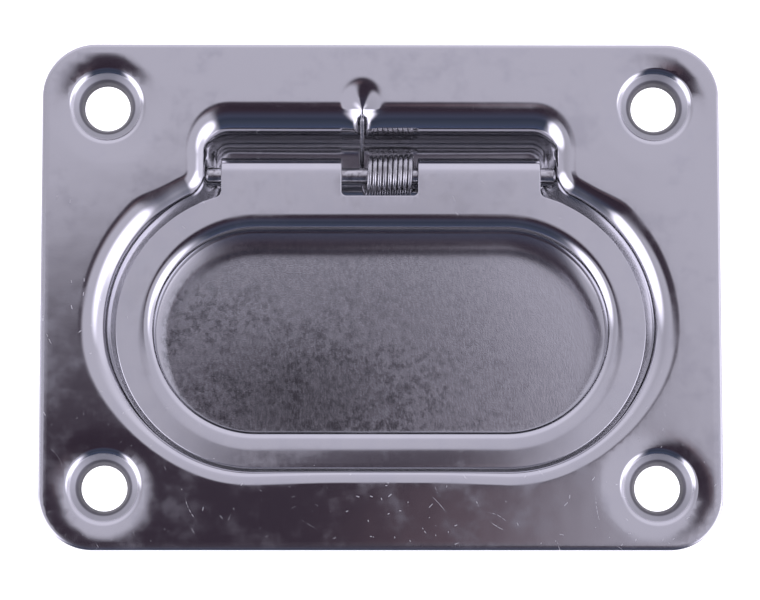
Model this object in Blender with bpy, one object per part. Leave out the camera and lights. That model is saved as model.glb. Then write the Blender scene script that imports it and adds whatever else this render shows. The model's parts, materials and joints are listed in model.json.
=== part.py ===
"""Spring-loaded flush lift handle: pressed pan, pressed lift ring, hinge pin and torsion spring.

Metres. +Z comes out of the front, +X runs along the hinge pin and +Y points to the hinge.
The origin is the centre of the mounting plane, which is the underside of the pan's flange.
"""
import math

import bmesh
import bpy
from mathutils import Matrix, Vector
from mathutils.geometry import delaunay_2d_cdt

MM = 0.001

# Base plate: flange
PLATE_LENGTH = 76.0 * MM
PLATE_WIDTH = 57.0 * MM
PLATE_CORNER = 6.0 * MM
PLATE_SHEET = 1.0 * MM
FRONT = PLATE_SHEET

# Base plate: recess for the fingers, an oblong tub
TUB_HALF = 14.05 * MM
TUB_RADIUS = 16.2 * MM
TUB_Y = -3.4 * MM
TUB_DEPTH = 11.0 * MM
RIM_LEFT = (1.0 * MM, math.radians(7), 3.0 * MM)
RIM_RIGHT = (1.3 * MM, math.radians(11), 2.2 * MM)
RIM_BOTTOM = (1.0 * MM, math.radians(14), 0.6 * MM)
RIM_SQUEEZE = 0.3
WALL_TOP = 0.366 * MM
WALL_DRAFT = math.radians(8)
FLOOR_FILLET = 5.7 * MM

# Base plate: shallower pocket for the hinge
POCKET_HALF = 19.3 * MM
POCKET_TOP = 18.45 * MM
POCKET_CORNER = 2.3 * MM
POCKET_INNER_FILLET = 3.4 * MM
SHELF_DEPTH = 6.2 * MM
SHELF_FALL = 0.3 * MM
SHELF_FILLET = 1.3 * MM
SHELF_EDGE = 1.6 * MM

# Base plate: dimpled screw holes
HOLE_X = 30.75 * MM
HOLE_Y = 21.45 * MM
HOLE_RADIUS = 2.55 * MM
DIMPLE_RADIUS = 4.45 * MM
DIMPLE_BEND = 0.95 * MM
DIMPLE_CONE_END = 3.0 * MM
DIMPLE_SLOPE = math.radians(40)
DIMPLE_THROAT = 0.7 * MM
DIMPLE_THROAT_SLOPE = math.radians(72)

# Base plate: dent and groove punched into the rim for the spring's leg
SEAT_X = -2.1 * MM
SEAT_DEPTH = 0.65 * MM
SEAT_FOOT_HALF = 1.6 * MM
SEAT_LENGTH = 2.6 * MM
SEAT_FLANK = 0.52
SEAT_CROWN = 0.20
SEAT_GROOVE = 1.4
SEAT_GROOVE_FLOOR = 1.3 * MM
SEAT_BLEND = 0.6 * MM
SEAT_STOPS = tuple(s * MM for s in (3.4, 2.5, 1.8, 1.3, 0.9, 0.6, 0.35, 0.0,
                                    -0.35, -0.6, -0.9, -1.3, -1.8, -2.5, -3.4))
SEAT_BROW = ((-0.25 * MM, 2.4 * MM), (0.35 * MM, 2.2 * MM), (0.9 * MM, 1.7 * MM), (1.5 * MM, 1.0 * MM))

# Lift handle
HANDLE_SHEET = 0.95 * MM
HANDLE_DEPTH = 0.95 * MM
RING_HALF = 14.05 * MM
RING_Y = -3.7 * MM
RING_RADIUS = 15.6 * MM
GRIP_HALF = 13.9 * MM
GRIP_RADIUS = 11.3 * MM
GRIP_Y = -3.75 * MM
GRIP_ROLL = 1.8 * MM
GRIP_FLANGE = 3.2 * MM
TAB_HALF = 17.95 * MM
TAB_FILLET = 0.8 * MM
NOTCH_LEFT = -4.4 * MM
NOTCH_RIGHT = 4.15 * MM
NOTCH_BOTTOM = 11.45 * MM
NOTCH_FILLET = 0.5 * MM
CURL_END = math.radians(-176)

# Hinge
PIN_RADIUS = 1.0 * MM
PIN_Y = 13.9 * MM
KNUCKLE_BORE = 1.15 * MM
KNUCKLE_RADIUS = KNUCKLE_BORE + HANDLE_SHEET
HANDLE_TOP = FRONT - HANDLE_DEPTH
PIN_Z = HANDLE_TOP - KNUCKLE_RADIUS
PIN_CENTRE = (0.0, PIN_Y, PIN_Z)
PIN_CUT_LENGTH = 46.0 * MM
PIN_HOLE = 1.3 * MM
PIN_HEAD_RADIUS = 1.4 * MM
PIN_HEAD = 0.7 * MM
PIN_HEAD_ROUND = 0.35 * MM
HEAD_GAP = 0.8 * MM

# Torsion spring
WIRE_RADIUS = 0.26 * MM
COIL_RADIUS = 2.1 * MM
COIL_LEFT = -1.6 * MM
COIL_RIGHT = 3.75 * MM
COIL_TURNS = 9
COIL_LEAN = 0.25 * MM
LEG_TIP_Y = 19.95 * MM
LEG_TIP_DEPTH = 0.72 * MM
HOOK_ANGLE = math.radians(-190)
HOOK_RADIUS = 1.75 * MM
HOOK_LENGTH = 4.2 * MM

# Facets
ARC_STEP = math.radians(12)
BEND_STEPS = 3
RIM_STEPS = 9
ROUND_STEPS = 24
TURN_STEPS = 14
WELD = 0.001 * MM
SHARP = math.radians(40)


def material(name, color, roughness):
    """A bare metal with one colour."""
    made = bpy.data.materials.new(name)
    made.use_nodes = True
    shader = made.node_tree.nodes["Principled BSDF"]
    shader.inputs["Base Color"].default_value = (*color, 1.0)
    shader.inputs["Metallic"].default_value = 1.0
    shader.inputs["Roughness"].default_value = roughness
    return made


def steps(start, end, count):
    """Evenly spaced values from start to end, both ends included."""
    return [start + (end - start) * i / count for i in range(count + 1)]


def unit(angle):
    return Vector((math.cos(angle), math.sin(angle)))


def arc(x, y, radius, start, end, hollow=False):
    """One corner of an outline: points and outward normals. A hollow one turns inwards."""
    count = max(1, math.ceil(abs(end - start) / ARC_STEP - 1e-6))
    side = -1 if hollow else 1
    return [(Vector((x, y)) + unit(a) * radius, unit(a) * side) for a in steps(start, end, count)]


def offset(outline, distance):
    return [point + normal * distance for point, normal in outline]


def stadium(half, radius, y):
    """Oblong with round ends, counterclockwise."""
    right = arc(half, y, radius, -math.pi / 2, math.pi / 2)
    return right + arc(-half, y, radius, math.pi / 2, math.pi * 1.5)


def smooth_min(a, b, blend):
    overlap = max(blend - abs(a - b), 0.0) / blend
    return min(a, b) - overlap * overlap * blend / 4


def seat_press(x, y, z):
    """Height of the pan's surface once the punch for the spring's leg has dented it."""
    along = y - POCKET_TOP
    if along < -SHELF_FILLET or z < FRONT - SHELF_DEPTH / 2:
        return z
    side = abs(x - SEAT_X)
    half = SEAT_FOOT_HALF * (1 - along / SEAT_LENGTH)
    if half < 0:
        out = math.hypot(side, along - SEAT_LENGTH)
        slope = SEAT_FLANK - SEAT_CROWN * (along - SEAT_LENGTH) / out
    else:
        out = (side - half) * SEAT_LENGTH / math.hypot(SEAT_LENGTH, SEAT_FOOT_HALF)
        slope = SEAT_FLANK if out > 0 else SEAT_GROOVE
    return smooth_min(z, FRONT - SEAT_DEPTH + slope * max(out, -SEAT_GROOVE_FLOOR), SEAT_BLEND)


def pan_outline():
    """The recess's wall line: the tub's two ends, then the hinge pocket across its top."""
    gap = POCKET_HALF + POCKET_INNER_FILLET - TUB_HALF
    reach = TUB_RADIUS + POCKET_INNER_FILLET
    join = math.acos(gap / reach)
    fillet_x = POCKET_HALF + POCKET_INNER_FILLET
    fillet_y = TUB_Y + reach * math.sin(join)
    corner_x = POCKET_HALF - POCKET_CORNER
    corner_y = POCKET_TOP - POCKET_CORNER
    half_turn = math.pi / 2

    tub_right = arc(TUB_HALF, TUB_Y, TUB_RADIUS, -half_turn, join)
    tub_left = arc(-TUB_HALF, TUB_Y, TUB_RADIUS, math.pi - join, math.pi * 1.5)
    pocket = arc(fillet_x, fillet_y, POCKET_INNER_FILLET, math.pi + join, math.pi, hollow=True)[1:]
    pocket += arc(corner_x, corner_y, POCKET_CORNER, 0, half_turn)
    for stop in SEAT_STOPS:
        pocket.append((Vector((SEAT_X + stop, POCKET_TOP)), Vector((0, 1))))
    pocket += arc(-corner_x, corner_y, POCKET_CORNER, half_turn, math.pi)
    pocket += arc(-fillet_x, fillet_y, POCKET_INNER_FILLET, 0, -join, hollow=True)[:-1]
    return tub_right, pocket, tub_left, join


def tub_under_pocket(along, join):
    """Point and normal on the tub's wall line under the pocket, at a share of its length."""
    bend = TUB_RADIUS * (math.pi / 2 - join)
    place = along * (2 * bend + 2 * TUB_HALF) - bend - TUB_HALF
    side = math.copysign(1, -place)
    turn = max(0.0, abs(place) - TUB_HALF) / TUB_RADIUS
    direction = Vector((side * math.sin(turn), math.cos(turn)))
    centre = Vector((side * min(abs(place), TUB_HALF), TUB_Y))
    return centre + direction * TUB_RADIUS, direction


def wall_offset(z):
    """How far the recess's wall stands from its wall line at a height under the rim."""
    floor = FRONT - TUB_DEPTH
    turn = floor + FLOOR_FILLET * (1 - math.sin(WALL_DRAFT))
    if z > turn:
        return WALL_TOP - (FRONT - z) * math.tan(WALL_DRAFT)
    centre = WALL_TOP - (FRONT - turn) * math.tan(WALL_DRAFT) - FLOOR_FILLET * math.cos(WALL_DRAFT)
    sine = min(1.0, 1 - (z - floor) / FLOOR_FILLET)
    return centre + FLOOR_FILLET * math.sqrt(1 - sine * sine)


def ease(value, low, high):
    share = min(max((value - low) / (high - low), 0.0), 1.0)
    return share * share * (3 - 2 * share)


def mix(a, b, share):
    return [p + (q - p) * share for p, q in zip(a, b)]


def rim_rows(point):
    """Wall offset and height down the rim at a place on the wall line. Tight at the bottom."""
    right = ease(point.x, 14 * MM, 26 * MM)
    tight = ease(point.y, -12 * MM, -19 * MM) * (1 - 0.2 * ease(abs(point.x), 4 * MM, 18 * MM))
    dish, tilt, roll = mix(mix(RIM_LEFT, RIM_RIGHT, right), RIM_BOTTOM, tight)
    reach = TUB_RADIUS + POCKET_INNER_FILLET
    fillet_x = POCKET_HALF + POCKET_INNER_FILLET
    fillet_y = TUB_Y + math.sqrt(reach * reach - (fillet_x - TUB_HALF) ** 2)
    corner = math.hypot(abs(point.x) - fillet_x, point.y - fillet_y)
    squeeze = 1 - RIM_SQUEEZE * ease(corner, POCKET_INNER_FILLET + 3.5 * MM, POCKET_INNER_FILLET)
    dish, roll = dish * squeeze, roll * squeeze

    rows = [(0.0, 0.0), (dish / 2, dish / 2 * math.tan(tilt / 4))]
    for angle in steps(tilt, math.pi / 2 - WALL_DRAFT, RIM_STEPS):
        rows.append((dish + roll * (math.sin(angle) - math.sin(tilt)),
                     dish * math.tan(tilt / 2) + roll * (math.cos(tilt) - math.cos(angle))))
    reach, drop = rows[-1]
    end = wall_offset(FRONT - drop)
    return [(end + reach - r, FRONT - d) for r, d in rows]


def lower_rows():
    """Rows under the rim: height, reach over the shelf, and where that starts."""
    rows = []
    shelf = FRONT - SHELF_DEPTH + SHELF_FALL / 2
    for angle in steps(0, math.pi / 2, BEND_STEPS):
        rows.append((shelf + SHELF_FILLET * (1 - math.sin(angle)),
                     SHELF_FILLET * (1 - math.cos(angle)), "wall"))
    for angle in steps(0, math.pi / 2, BEND_STEPS):
        rows.append((shelf - SHELF_FALL - SHELF_EDGE * (1 - math.cos(angle)),
                     SHELF_EDGE * (1 - math.sin(angle)), "edge"))
    floor = FRONT - TUB_DEPTH
    entry = math.asin(1 - (rows[-1][0] - floor) / FLOOR_FILLET)
    for angle in steps(entry, math.pi / 2, BEND_STEPS + 1)[1:]:
        rows.append((floor + FLOOR_FILLET * (1 - math.sin(angle)), 0.0, "edge"))
    return rows


def pan_rings():
    """Rings of the recess, from the flange down to the floor."""
    tub_right, pocket, tub_left, join = pan_outline()
    upper = tub_right + pocket + tub_left
    lengths = [0.0]
    path = [tub_right[-1]] + pocket + [tub_left[0]]
    for (here, _), (after, _) in zip(path, path[1:]):
        lengths.append(lengths[-1] + (after - here).length)
    under = [tub_under_pocket(s / lengths[-1], join) for s in lengths[1:-1]]
    lower = tub_right + under + tub_left

    columns = []
    for (top, top_normal), (foot, foot_normal) in zip(upper, lower):
        column = [(top + top_normal * wall, z) for wall, z in rim_rows(top)]
        width = (foot - top).length
        for z, reach, start in lower_rows():
            outer = top + top_normal * wall_offset(z)
            inner = foot + foot_normal * wall_offset(z)
            share = min(reach / width, 0.45) if width > WELD else 0.0
            column.append((outer + (inner - outer) * (share if start == "wall" else 1 - share), z))
        columns.append([Vector((p.x, p.y, seat_press(p.x, p.y, z))) for p, z in column])
    return [list(ring) for ring in zip(*columns)]


def dimple_rings(x, y):
    """Rings of one screw hole, from the flange down to the hole's edge."""
    profile = []
    for angle in steps(0, DIMPLE_SLOPE, 2):
        profile.append((DIMPLE_RADIUS - DIMPLE_BEND * math.sin(angle),
                        DIMPLE_BEND * (1 - math.cos(angle))))
    radius, depth = profile[-1]
    depth += (radius - DIMPLE_CONE_END) * math.tan(DIMPLE_SLOPE)
    for angle in steps(DIMPLE_SLOPE, DIMPLE_THROAT_SLOPE, 2):
        profile.append((DIMPLE_CONE_END - DIMPLE_THROAT * (math.sin(angle) - math.sin(DIMPLE_SLOPE)),
                        depth + DIMPLE_THROAT * (math.cos(DIMPLE_SLOPE) - math.cos(angle))))
    radius, depth = profile[-1]
    profile.append((HOLE_RADIUS, depth + (radius - HOLE_RADIUS) * math.tan(DIMPLE_THROAT_SLOPE)))
    rings = []
    for radius, depth in profile:
        ring = [Vector((x, y)) + unit(a) * radius for a in steps(0, math.tau, ROUND_STEPS)[:-1]]
        rings.append([p.to_3d() + Vector((0, 0, FRONT - depth)) for p in ring])
    return rings


def add_rows(mesh, rings, closed=True):
    """Faces between neighbouring rings of equal length."""
    rows = [[mesh.verts.new(p) for p in ring] for ring in rings]
    for upper, lower in zip(rows, rows[1:]):
        count = len(upper)
        for i in range(count if closed else count - 1):
            j = (i + 1) % count
            mesh.faces.new((upper[i], upper[j], lower[j], lower[i]))
    return rows


def inside(point, loop):
    """Whether a point lies in a closed loop of plan points."""
    hits = 0
    for a, b in zip(loop, loop[1:] + loop[:1]):
        if (a.y > point.y) != (b.y > point.y):
            hits += point.x < a.x + (point.y - a.y) / (b.y - a.y) * (b.x - a.x)
    return hits % 2 == 1


def add_sheet(mesh, outer, holes, height, loose=()):
    """Flat sheet between an outer loop and its holes, with loose points inside it."""
    points = []
    edges = []
    for loop in [outer] + holes:
        first = len(points)
        points += [Vector((p.x, p.y)) for p in loop]
        edges += [(first + i, first + (i + 1) % len(loop)) for i in range(len(loop))]
    points += [Vector(p) for p in loose]
    plan, _, faces = delaunay_2d_cdt(points, edges, [], 0, WELD)[:3]
    verts = [mesh.verts.new((p.x, p.y, height(p.x, p.y))) for p in plan]
    for face in faces:
        centre = sum((plan[i] for i in face), Vector((0, 0))) / len(face)
        if inside(centre, outer) and not any(inside(centre, hole) for hole in holes):
            mesh.faces.new([verts[i] for i in face])
    for vert in [v for v in verts if not v.link_faces]:
        mesh.verts.remove(vert)


def finish(mesh, name, look, origin=(0, 0, 0)):
    """Welded object with its origin on a point, in front-side-out order."""
    bmesh.ops.remove_doubles(mesh, verts=mesh.verts, dist=WELD)
    bmesh.ops.translate(mesh, verts=mesh.verts, vec=-Vector(origin))
    data = bpy.data.meshes.new(name)
    mesh.to_mesh(data)
    mesh.free()
    data.shade_smooth()
    data.set_sharp_from_angle(angle=SHARP)
    made = bpy.data.objects.new(name, data)
    made.location = origin
    made.data.materials.append(look)
    bpy.context.scene.collection.objects.link(made)
    return made


def thicken(made, thickness):
    """Sheet metal behind the visible face."""
    solid = made.modifiers.new("sheet", "SOLIDIFY")
    solid.thickness = thickness
    solid.offset = -1
    solid.use_even_offset = True
    solid.use_quality_normals = True


def make_base_plate(look):
    mesh = bmesh.new()
    corner_x = PLATE_LENGTH / 2 - PLATE_CORNER
    corner_y = PLATE_WIDTH / 2 - PLATE_CORNER
    outline = []
    for quarter, (sx, sy) in enumerate(((1, -1), (1, 1), (-1, 1), (-1, -1))):
        start = (quarter - 1) * math.pi / 2
        outline += arc(sx * corner_x, sy * corner_y, PLATE_CORNER, start, start + math.pi / 2)
    outer = offset(outline, 0)

    rings = pan_rings()
    add_rows(mesh, rings)
    mesh.faces.new([mesh.verts.new(p) for p in rings[-1]])
    loops = [[Vector((p.x, p.y)) for p in rings[0]]]
    for x in (-HOLE_X, HOLE_X):
        for y in (-HOLE_Y, HOLE_Y):
            dimple = dimple_rings(x, y)
            add_rows(mesh, dimple)
            loops.append([Vector((p.x, p.y)) for p in dimple[0]])

    rim = max(p.y for p in rings[0])
    loose = []
    for rise, reach in SEAT_BROW:
        loose += [(SEAT_X + reach * side, rim + rise) for side in (-1, -0.5, 0, 0.5, 1)]
    add_sheet(mesh, outer, loops, lambda x, y: seat_press(x, y, FRONT), loose)
    plate = finish(mesh, "base_plate", look)
    thicken(plate, PLATE_SHEET)

    bore = bmesh.new()
    along_pin = Matrix.Translation(PIN_CENTRE) @ Matrix.Rotation(math.pi / 2, 4, "Y")
    bmesh.ops.create_cone(bore, cap_ends=True, segments=ROUND_STEPS, radius1=PIN_HOLE,
                          radius2=PIN_HOLE, depth=PIN_CUT_LENGTH, matrix=along_pin)
    cutter = finish(bore, "pin_bore_cutter", look, PIN_CENTRE)
    cutter.hide_render = True
    cutter.display_type = "WIRE"
    cut = plate.modifiers.new("pin_holes", "BOOLEAN")
    cut.operation = "DIFFERENCE"
    cut.solver = "EXACT"
    cut.object = cutter
    return plate


def handle_outline():
    """Lift ring's outline up to the pin's line, with its two tabs and the notch between them."""
    reach = RING_RADIUS + TAB_FILLET
    fillet_x = TAB_HALF + TAB_FILLET
    join = math.acos((fillet_x - RING_HALF) / reach)
    fillet_y = RING_Y + reach * math.sin(join)
    half_turn = math.pi / 2
    notch_y = NOTCH_BOTTOM + NOTCH_FILLET

    line = arc(RING_HALF, RING_Y, RING_RADIUS, -half_turn, join)
    line += arc(fillet_x, fillet_y, TAB_FILLET, math.pi + join, math.pi, hollow=True)[1:]
    line.append((Vector((TAB_HALF, PIN_Y)), Vector((1, 0))))
    line.append((Vector((NOTCH_RIGHT, PIN_Y)), Vector((-1, 0))))
    line += arc(NOTCH_RIGHT - NOTCH_FILLET, notch_y, NOTCH_FILLET, 0, -half_turn, hollow=True)
    line += arc(NOTCH_LEFT + NOTCH_FILLET, notch_y, NOTCH_FILLET, -half_turn, -math.pi, hollow=True)
    line.append((Vector((NOTCH_LEFT, PIN_Y)), Vector((1, 0))))
    line.append((Vector((-TAB_HALF, PIN_Y)), Vector((-1, 0))))
    line += arc(-fillet_x, fillet_y, TAB_FILLET, 0, -join, hollow=True)[:-1]
    line += arc(-RING_HALF, RING_Y, RING_RADIUS, math.pi - join, math.pi * 1.5)
    return line


def make_lift_handle(look):
    mesh = bmesh.new()
    grip = stadium(GRIP_HALF, GRIP_RADIUS, GRIP_Y)
    rings = []
    for angle in steps(0, math.pi / 2, BEND_STEPS + 1):
        depth = GRIP_ROLL * (1 - math.cos(angle))
        plan = offset(grip, GRIP_ROLL * (1 - math.sin(angle)))
        rings.append([p.to_3d() + Vector((0, 0, HANDLE_TOP - depth)) for p in plan])
    rings.append([p.to_3d() + Vector((0, 0, HANDLE_TOP - GRIP_FLANGE)) for p in offset(grip, 0)])
    add_rows(mesh, rings)
    hole = [Vector((p.x, p.y)) for p in rings[0]]
    add_sheet(mesh, offset(handle_outline(), 0), [hole], lambda x, y: HANDLE_TOP)

    for left, right in ((-TAB_HALF, NOTCH_LEFT), (NOTCH_RIGHT, TAB_HALF)):
        rows = []
        for angle in steps(math.pi / 2, CURL_END, 16):
            y, z = unit(angle) * KNUCKLE_RADIUS
            rows.append([Vector((x, PIN_Y + y, PIN_Z + z)) for x in (left, right)])
        add_rows(mesh, rows, closed=False)
    handle = finish(mesh, "lift_handle", look, PIN_CENTRE)
    thicken(handle, HANDLE_SHEET)
    return handle


def make_hinge_pin(look):
    """Turned pin with a peened head outside each wall of the pocket."""
    wall = POCKET_HALF + PLATE_SHEET + HEAD_GAP
    end = wall + PIN_HEAD
    side = [(PIN_HEAD_RADIUS - PIN_HEAD_ROUND, end), (PIN_HEAD_RADIUS, end - PIN_HEAD_ROUND),
            (PIN_HEAD_RADIUS, wall), (PIN_RADIUS, wall)]
    profile = side + [(radius, -x) for radius, x in reversed(side)]
    mesh = bmesh.new()
    rings = []
    for radius, x in profile:
        around = [unit(a) * radius for a in steps(0, math.tau, ROUND_STEPS)[:-1]]
        rings.append([Vector((x, PIN_Y + p.x, PIN_Z + p.y)) for p in around])
    rows = add_rows(mesh, rings)
    mesh.faces.new(rows[0])
    mesh.faces.new(rows[-1])
    bmesh.ops.recalc_face_normals(mesh, faces=mesh.faces)
    return finish(mesh, "hinge_pin", look, PIN_CENTRE)


def spring_path():
    """Wire's centre line: hook in the right knuckle, coil about the pin, leg up to the ramp."""
    tip = Vector((LEG_TIP_Y - PIN_Y, FRONT - LEG_TIP_DEPTH - PIN_Z))
    rise = math.atan2(tip.y, tip.x) + math.asin(COIL_RADIUS / tip.length)
    leave = rise - math.pi / 2
    path = []
    hook = unit(HOOK_ANGLE) * HOOK_RADIUS
    for x in (COIL_RIGHT + HOOK_LENGTH, COIL_RIGHT + HOOK_LENGTH / 2, COIL_RIGHT + 2.5 * WIRE_RADIUS):
        path.append(Vector((x, PIN_Y + hook.x, PIN_Z + hook.y)))
    sweep = leave + COIL_TURNS * math.tau - HOOK_ANGLE
    count = round(sweep / math.tau * TURN_STEPS)
    for i in range(1, count + 1):
        along = i / count
        radius = min(COIL_RADIUS, HOOK_RADIUS + (COIL_RADIUS - HOOK_RADIUS) * i / 4)
        around = unit(HOOK_ANGLE + sweep * along) * radius
        lean = COIL_LEAN * (1 - along)
        path.append(Vector((COIL_RIGHT + (COIL_LEFT - COIL_RIGHT) * along,
                            PIN_Y + around.x + lean, PIN_Z + around.y)))
    path.append(Vector((SEAT_X, LEG_TIP_Y, FRONT - LEG_TIP_DEPTH)))
    return path


def make_torsion_spring(look):
    points = spring_path()
    curve = bpy.data.curves.new("torsion_spring", "CURVE")
    curve.dimensions = "3D"
    curve.bevel_depth = WIRE_RADIUS
    curve.bevel_resolution = 1
    curve.use_fill_caps = True
    line = curve.splines.new("POLY")
    line.points.add(len(points) - 1)
    for slot, point in zip(line.points, points):
        slot.co = (point.x, point.y - PIN_Y, point.z - PIN_Z, 1)
    made = bpy.data.objects.new("torsion_spring", curve)
    made.location = PIN_CENTRE
    curve.materials.append(look)
    bpy.context.scene.collection.objects.link(made)
    return made


def main():
    for old in list(bpy.data.objects):
        bpy.data.objects.remove(old)
    make_base_plate(material("polished_plate", (0.66, 0.65, 0.69), 0.16))
    make_lift_handle(material("polished_handle", (0.68, 0.67, 0.71), 0.16))
    make_hinge_pin(material("drawn_pin", (0.55, 0.54, 0.58), 0.3))
    make_torsion_spring(material("spring_wire", (0.6, 0.59, 0.63), 0.25))


main()
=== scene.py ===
"""Looks of the flush lift handle: fine pressed-steel meshes, polished metal, a small light tent.

Metres, in the frame of the CAD model: +Z out of the front, +X along the pin, +Y to the hinge.
"""

import json
import math

import bmesh
import bpy
import numpy as np
from mathutils import Matrix, Vector
from mathutils.geometry import delaunay_2d_cdt


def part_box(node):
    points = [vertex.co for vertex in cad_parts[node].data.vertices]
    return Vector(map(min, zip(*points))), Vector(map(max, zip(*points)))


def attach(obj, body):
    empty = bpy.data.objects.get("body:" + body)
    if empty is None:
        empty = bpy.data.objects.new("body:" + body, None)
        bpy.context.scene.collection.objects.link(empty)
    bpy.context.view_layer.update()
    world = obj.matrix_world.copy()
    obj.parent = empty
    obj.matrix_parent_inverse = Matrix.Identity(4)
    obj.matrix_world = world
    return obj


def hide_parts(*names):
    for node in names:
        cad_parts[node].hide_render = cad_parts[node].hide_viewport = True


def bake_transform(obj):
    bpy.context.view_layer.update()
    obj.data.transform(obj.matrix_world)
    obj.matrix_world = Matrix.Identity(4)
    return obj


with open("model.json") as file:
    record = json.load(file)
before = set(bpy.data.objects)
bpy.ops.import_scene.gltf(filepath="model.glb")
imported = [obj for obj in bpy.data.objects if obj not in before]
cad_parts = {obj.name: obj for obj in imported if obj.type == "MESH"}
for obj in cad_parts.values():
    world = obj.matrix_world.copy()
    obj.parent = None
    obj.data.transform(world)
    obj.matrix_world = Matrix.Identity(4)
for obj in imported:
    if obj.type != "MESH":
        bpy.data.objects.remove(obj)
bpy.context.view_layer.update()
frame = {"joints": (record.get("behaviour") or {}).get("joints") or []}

MM = 0.001
QUARTER = math.pi / 2

# Frame: places read from the CAD nodes and the joint
plate_low, plate_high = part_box("base_plate")
_, PIN_Y, PIN_Z = frame["joints"][0]["pos_m"]
PIN_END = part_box("hinge_pin")[1].x
HANDLE_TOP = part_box("lift_handle")[1].z
FRONT = plate_high.z
STAGE_Z = plate_low.z - 0.2 * MM
BOX_GAP = 0.03 * MM

# Base plate: the CAD model's sizes, and where the finer model's wall leaves them a little
PLATE_X = plate_high.x - BOX_GAP
PLATE_Y = plate_high.y - BOX_GAP
PLATE_CORNER = 6.0 * MM
SHEET = 1.0 * MM
TUB_HALF = 14.05 * MM
TUB_RADIUS = 16.2 * MM
TUB_Y = -3.4 * MM
TUB_DEPTH = 11.0 * MM
TUB_PINCH = 0.22 * MM
TUB_PINCH_Y = (-3 * MM, -12 * MM)
TUB_SPREAD = 0.9 * MM
TUB_SPREAD_Y = (-4 * MM, -15 * MM)
TUB_SPREAD_Z = (-4.5 * MM, -9 * MM)
END_SPREAD = 0.85
END_SPREAD_X = (22 * MM, 28 * MM)
END_SPREAD_Y = (6 * MM, -7 * MM)

# Rims: width of the shallow dish, its tilt, and radius of the roll
RIM_LEFT = (1.0 * MM, math.radians(7), 3.0 * MM)
RIM_RIGHT = (1.3 * MM, math.radians(11), 2.2 * MM)
RIM_BOTTOM = (1.0 * MM, math.radians(14), 0.6 * MM)
RIM_RIGHT_X = (14 * MM, 26 * MM)
RIM_SHOULDER_Y = (10.5 * MM, 13.5 * MM)
RIM_TIGHT_Y = (-5 * MM, -18 * MM)
RIM_TIGHT_X = (4 * MM, 18 * MM)
RIM_TIGHT_LOSS = 0.2
RIM_SQUEEZE = 0.3
RIM_SQUEEZE_REACH = 3.5 * MM

# Recess wall, shelf, pocket, and the fillets between tub and pocket
WALL_DRAFT = math.radians(8)
WALL_TOP = 0.366 * MM
FLOOR_FILLET = 5.7 * MM
POCKET_HALF = 19.3 * MM
POCKET_TOP = 18.45 * MM
POCKET_CORNER = 2.3 * MM
POCKET_INNER_FILLET = 3.4 * MM
FILLET_REACH = TUB_RADIUS + POCKET_INNER_FILLET
FILLET_X = POCKET_HALF + POCKET_INNER_FILLET
FILLET_JOIN = math.acos((FILLET_X - TUB_HALF) / FILLET_REACH)
FILLET_Y = TUB_Y + FILLET_REACH * math.sin(FILLET_JOIN)
SHELF_DEPTH = 6.2 * MM
SHELF_FALL = 0.3 * MM
SHELF_FILLET = 1.3 * MM
SHELF_EDGE = 1.6 * MM
SHELF_SHARE = 0.45

# Screw holes: a faint dish, a bend, a cone and a throat
HOLE_X = 30.75 * MM
HOLE_Y = 21.45 * MM
HOLE_RADIUS = 2.55 * MM
DIMPLE_RADIUS = 4.45 * MM
DIMPLE_BEND = 0.95 * MM
DIMPLE_CONE_END = 3.0 * MM
DIMPLE_SLOPE = math.radians(40)
DIMPLE_THROAT = 0.7 * MM
DIMPLE_THROAT_SLOPE = math.radians(72)
DISH_TILT = math.radians(6)
DISH_RADIUS = 6.3 * MM

# Seat of the spring's leg: a grooved ramp pressed in the rim
SEAT_X = -2.1 * MM
SEAT_DEPTH = 0.65 * MM
SEAT_FOOT_HALF = 1.6 * MM
SEAT_LENGTH = 2.6 * MM
SEAT_FLANK = 0.52
SEAT_CROWN = 0.20
SEAT_GROOVE = 1.4
SEAT_GROOVE_FLOOR = 1.3 * MM
SEAT_BLEND = 0.6 * MM

# Lift handle
HANDLE_SHEET = 0.95 * MM
RING_HALF = 14.05 * MM
RING_Y = -3.7 * MM
RING_RADIUS = 15.6 * MM
GRIP_HALF = 13.9 * MM
GRIP_RADIUS = 11.3 * MM
GRIP_Y = -3.75 * MM
GRIP_TOP = (0.3 * MM, math.radians(3), 1.62 * MM)
GRIP_BOTTOM = (1.3 * MM, math.radians(9), 1.2 * MM)
GRIP_LOW_Y = (2 * MM, -11 * MM)
GRIP_FLANGE = 3.2 * MM
TAB_HALF = 17.95 * MM
TAB_FILLET = 0.8 * MM
NOTCH_LEFT = -4.4 * MM
NOTCH_RIGHT = 4.15 * MM
NOTCH_BOTTOM = 11.45 * MM
NOTCH_FILLET = 0.5 * MM
KNUCKLE_RADIUS = HANDLE_TOP - PIN_Z
CURL_END = math.radians(-176)

# Pin and spring
PIN_RADIUS = 1.0 * MM
PIN_HEAD_RADIUS = 1.4 * MM
PIN_HEAD = 0.7 * MM
PIN_BEVEL = 0.05 * MM
PIN_NECK = 0.06 * MM
WIRE_RADIUS = 0.26 * MM
COIL_RADIUS = 2.1 * MM
COIL_LEFT = -1.6 * MM
COIL_RIGHT = 3.75 * MM
COIL_TURNS = 9
COIL_LEAN = 0.25 * MM
LEG_TIP_Y = 19.95 * MM
LEG_TIP_DEPTH = 0.72 * MM
HOOK_ANGLE = math.radians(-190)
HOOK_RADIUS = 1.75 * MM
HOOK_LENGTH = 4.2 * MM

# Edge rounding: reach and drop at the plate's outer edge, and the same radius everywhere else
RIM_ROUND = (0.55 * MM, 0.22 * MM)
RIM_MARGIN = 1.5 * MM
EDGE_ROUND = 0.16 * MM

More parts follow.
